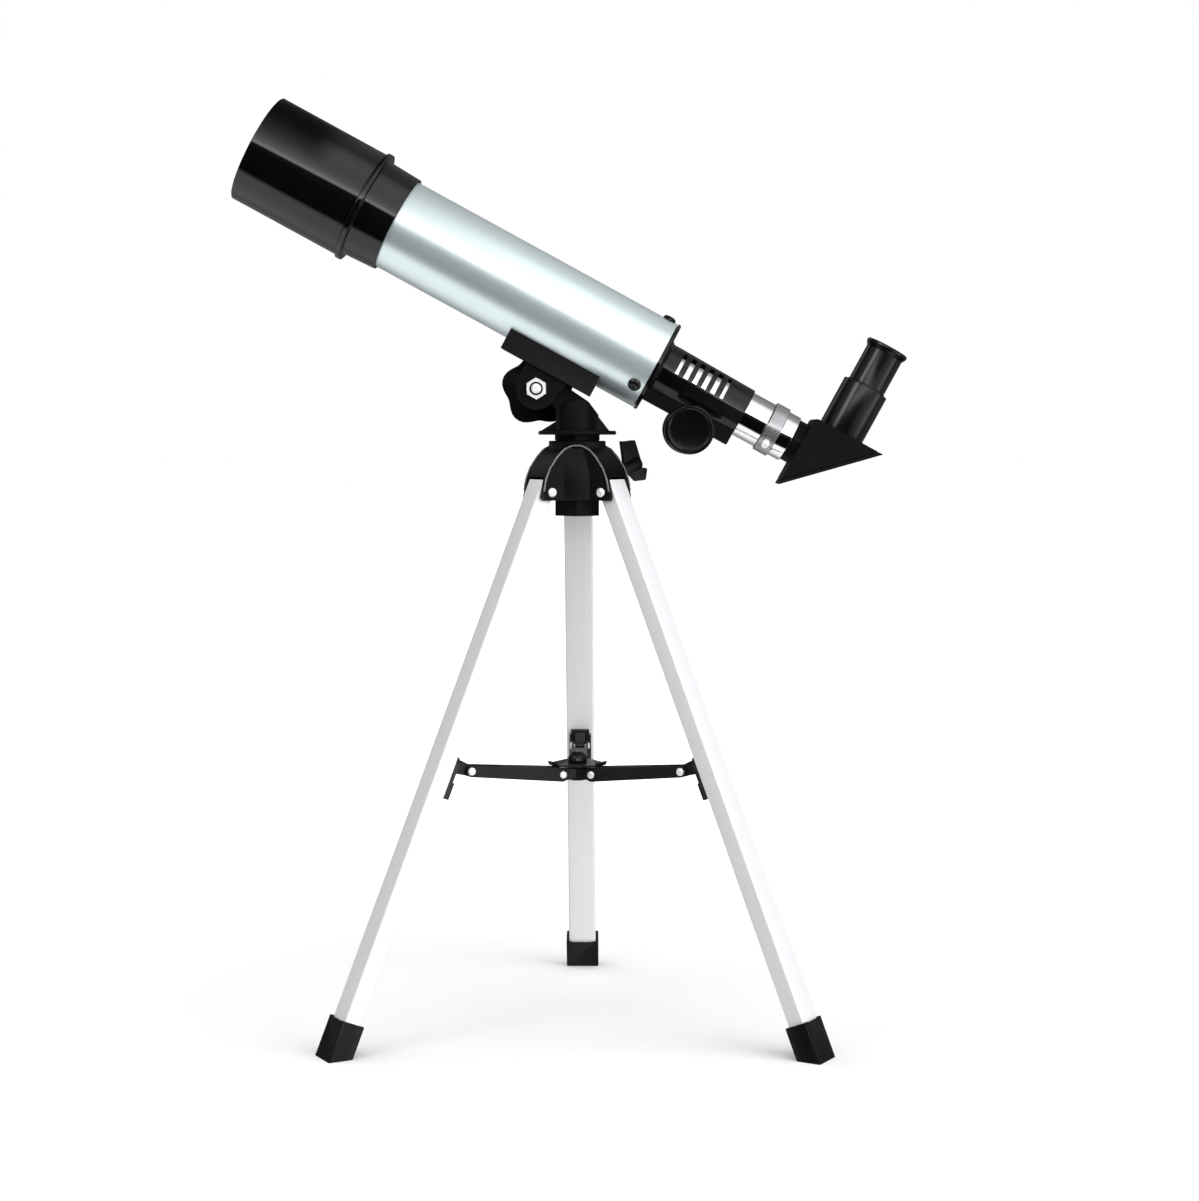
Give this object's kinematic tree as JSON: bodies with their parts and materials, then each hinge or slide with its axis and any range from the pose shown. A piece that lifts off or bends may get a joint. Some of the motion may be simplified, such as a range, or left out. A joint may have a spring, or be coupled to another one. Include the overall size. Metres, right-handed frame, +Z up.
{
  "type": "telescope on tripod",
  "caption": "Small refracting telescope with rack focuser, star diagonal and eyepiece on a folding table tripod with pan and tilt head",
  "frame": {"origin": "on the floor, under the middle of the object's box", "axes": "+Z up, +X towards the eyepiece end, +Y away from the viewer"},
  "size_m": [0.4008, 0.2619, 0.5551],
  "materials": {
    "pearl_paint": "satin pearl silver-green paint",
    "gloss_black": "glossy black plastic",
    "satin_black": "satin black plastic with a fine grain",
    "satin_aluminium": "satin anodised aluminium",
    "chrome": "bright chrome plate",
    "zinc_steel": "zinc-plated steel",
    "black_steel": "black-coated steel",
    "lens_glass": "coated optical glass",
    "mirror": "front-silvered mirror",
    "white_nylon": "pale moulded nylon"
  },
  "bodies": {
    "tripod_hub": {"tripod_hub": "satin_black", "rear_leg_bolt": "zinc_steel", "left_leg_bolt": "zinc_steel", "right_leg_bolt": "zinc_steel"},
    "azimuth_lock": {"azimuth_lock_screw": "satin_black"},
    "head": {"head_arm": "satin_black", "azimuth_bolt": "zinc_steel", "azimuth_nut": "zinc_steel", "friction_washer_near": "white_nylon", "friction_washer_far": "white_nylon"},
    "telescope": {"optical_tube": "pearl_paint", "tube_screw_top": "black_steel", "tube_screw_near": "black_steel", "tube_screw_far": "black_steel", "tube_baffle": "satin_black", "objective_cell": "gloss_black", "dew_shield": "gloss_black", "objective_flint_lens": "lens_glass", "objective_crown_lens": "lens_glass", "lens_retaining_ring": "satin_black", "focuser_housing": "gloss_black", "pinion_cover": "gloss_black", "pinion_cover_screw_front": "zinc_steel", "pinion_cover_screw_rear": "zinc_steel", "tube_saddle": "satin_black", "saddle_screw_front": "zinc_steel", "saddle_screw_rear": "zinc_steel", "altitude_nut": "zinc_steel"},
    "altitude_clamp": {"altitude_bolt": "zinc_steel", "altitude_knob": "satin_black"},
    "focus_pinion": {"pinion_shaft": "zinc_steel", "focus_pinion": "white_nylon", "focus_knob_near": "gloss_black", "focus_knob_far": "gloss_black"},
    "drawtube": {"drawtube": "chrome", "focus_rack": "white_nylon", "drawtube_collar": "chrome"},
    "collar_screw": {"collar_screw": "chrome"},
    "diagonal": {"diagonal_housing": "satin_black", "diagonal_cover": "satin_black", "diagonal_mirror": "mirror", "diagonal_barrel": "chrome", "eyepiece_socket": "gloss_black"},
    "eyepiece": {"eyepiece_body": "gloss_black", "eyepiece_field_lens": "lens_glass", "eyepiece_eye_lens": "lens_glass"},
    "spreader_hub": {"spreader_hub": "black_steel", "spreader_knob": "satin_black"},
    "rear_leg": {"rear_leg": "satin_aluminium", "rear_foot_cap": "satin_black", "rear_spreader_bracket": "black_steel"},
    "rear_arm": {"rear_spreader_arm": "black_steel"},
    "left_leg": {"left_leg": "satin_aluminium", "left_foot_cap": "satin_black", "left_spreader_bracket": "black_steel"},
    "left_arm": {"left_spreader_arm": "black_steel"},
    "right_leg": {"right_leg": "satin_aluminium", "right_foot_cap": "satin_black", "right_spreader_bracket": "black_steel"},
    "right_arm": {"right_spreader_arm": "black_steel"}
  },
  "joints": [
    {"name": "azimuth", "type": "hinge", "parent": "tripod_hub", "child": "head", "pos_m": [0.004, -0.0367, 0.3572], "axis": [0, 0, 1], "continuous": true},
    {"name": "azimuth_lock_turn", "type": "hinge", "parent": "tripod_hub", "child": "azimuth_lock", "pos_m": [0.004, -0.0367, 0.3215], "axis": [0.7942, 0.4457, 0.4131], "continuous": true},
    {"name": "altitude", "type": "hinge", "parent": "head", "child": "telescope", "pos_m": [-0.02, -0.0367, 0.3844], "axis": [0, 1, 0], "range_deg": [-68, 5.5]},
    {"name": "altitude_clamp_turn", "type": "hinge", "parent": "telescope", "child": "altitude_clamp", "pos_m": [-0.02, -0.0367, 0.3844], "axis": [0, 1, 0], "continuous": true},
    {"name": "focus_slide", "type": "slide", "parent": "telescope", "child": "drawtube", "axis": [0.8784, 0, -0.4779], "range_m": [-0.014, 0.036]},
    {"name": "focus_pinion_spin", "type": "hinge", "parent": "telescope", "child": "focus_pinion", "pos_m": [0.07014, -0.0367, 0.36029], "axis": [0, 1, 0], "range_deg": [-133.7, 343.8]},
    {"name": "collar_screw_turn", "type": "hinge", "parent": "drawtube", "child": "collar_screw", "pos_m": [0.12008, -0.0367, 0.36044], "axis": [-0.2603, -0.8387, -0.4784], "continuous": true},
    {"name": "diagonal_swivel", "type": "hinge", "parent": "drawtube", "child": "diagonal", "pos_m": [0.1308, -0.0367, 0.35461], "axis": [0.8784, 0, -0.4779], "continuous": true},
    {"name": "eyepiece_pull", "type": "slide", "parent": "diagonal", "child": "eyepiece", "axis": [0.4779, 0, 0.8784], "range_m": [0, 0.03]},
    {"name": "rear_leg_fold", "type": "hinge", "parent": "tripod_hub", "child": "rear_leg", "pos_m": [0.0043, -0.0125, 0.3233], "axis": [-0.9999, 0.0122, 0], "range_deg": [0, 9]},
    {"name": "left_leg_fold", "type": "hinge", "parent": "tripod_hub", "child": "left_leg", "pos_m": [-0.0171, -0.04854, 0.3233], "axis": [0.4894, -0.8721, 0], "range_deg": [0, 9]},
    {"name": "right_leg_fold", "type": "hinge", "parent": "tripod_hub", "child": "right_leg", "pos_m": [0.02481, -0.04906, 0.3233], "axis": [0.5105, 0.8599, 0], "range_deg": [0, 9]},
    {"name": "spreader_lift", "type": "slide", "parent": "tripod_hub", "child": "spreader_hub", "axis": [0, 0, 1], "range_m": [0, 0.0511]},
    {"name": "rear_arm_fold", "type": "hinge", "parent": "spreader_hub", "child": "rear_arm", "pos_m": [0.00415, -0.0242, 0.1539], "axis": [-0.9999, 0.0122, 0], "range_deg": [0, 61.34]},
    {"name": "left_arm_fold", "type": "hinge", "parent": "spreader_hub", "child": "left_arm", "pos_m": [-0.0069, -0.04282, 0.1539], "axis": [0.4894, -0.8721, 0], "range_deg": [0, 61.34]},
    {"name": "right_arm_fold", "type": "hinge", "parent": "spreader_hub", "child": "right_arm", "pos_m": [0.01475, -0.04308, 0.1539], "axis": [0.5105, 0.8599, 0], "range_deg": [0, 61.34]}
  ],
  "couplings": [
    {"joint": "focus_pinion_spin", "follows": "focus_slide", "rad_per_m": 166.67},
    {"joint": "left_leg_fold", "follows": "rear_leg_fold", "ratio": 1},
    {"joint": "right_leg_fold", "follows": "rear_leg_fold", "ratio": 1},
    {"joint": "spreader_lift", "follows": "rear_leg_fold", "m_per_rad": 0.32468},
    {"joint": "rear_arm_fold", "follows": "rear_leg_fold", "ratio": 6.81},
    {"joint": "left_arm_fold", "follows": "rear_leg_fold", "ratio": 6.81},
    {"joint": "right_arm_fold", "follows": "rear_leg_fold", "ratio": 6.81}
  ]
}
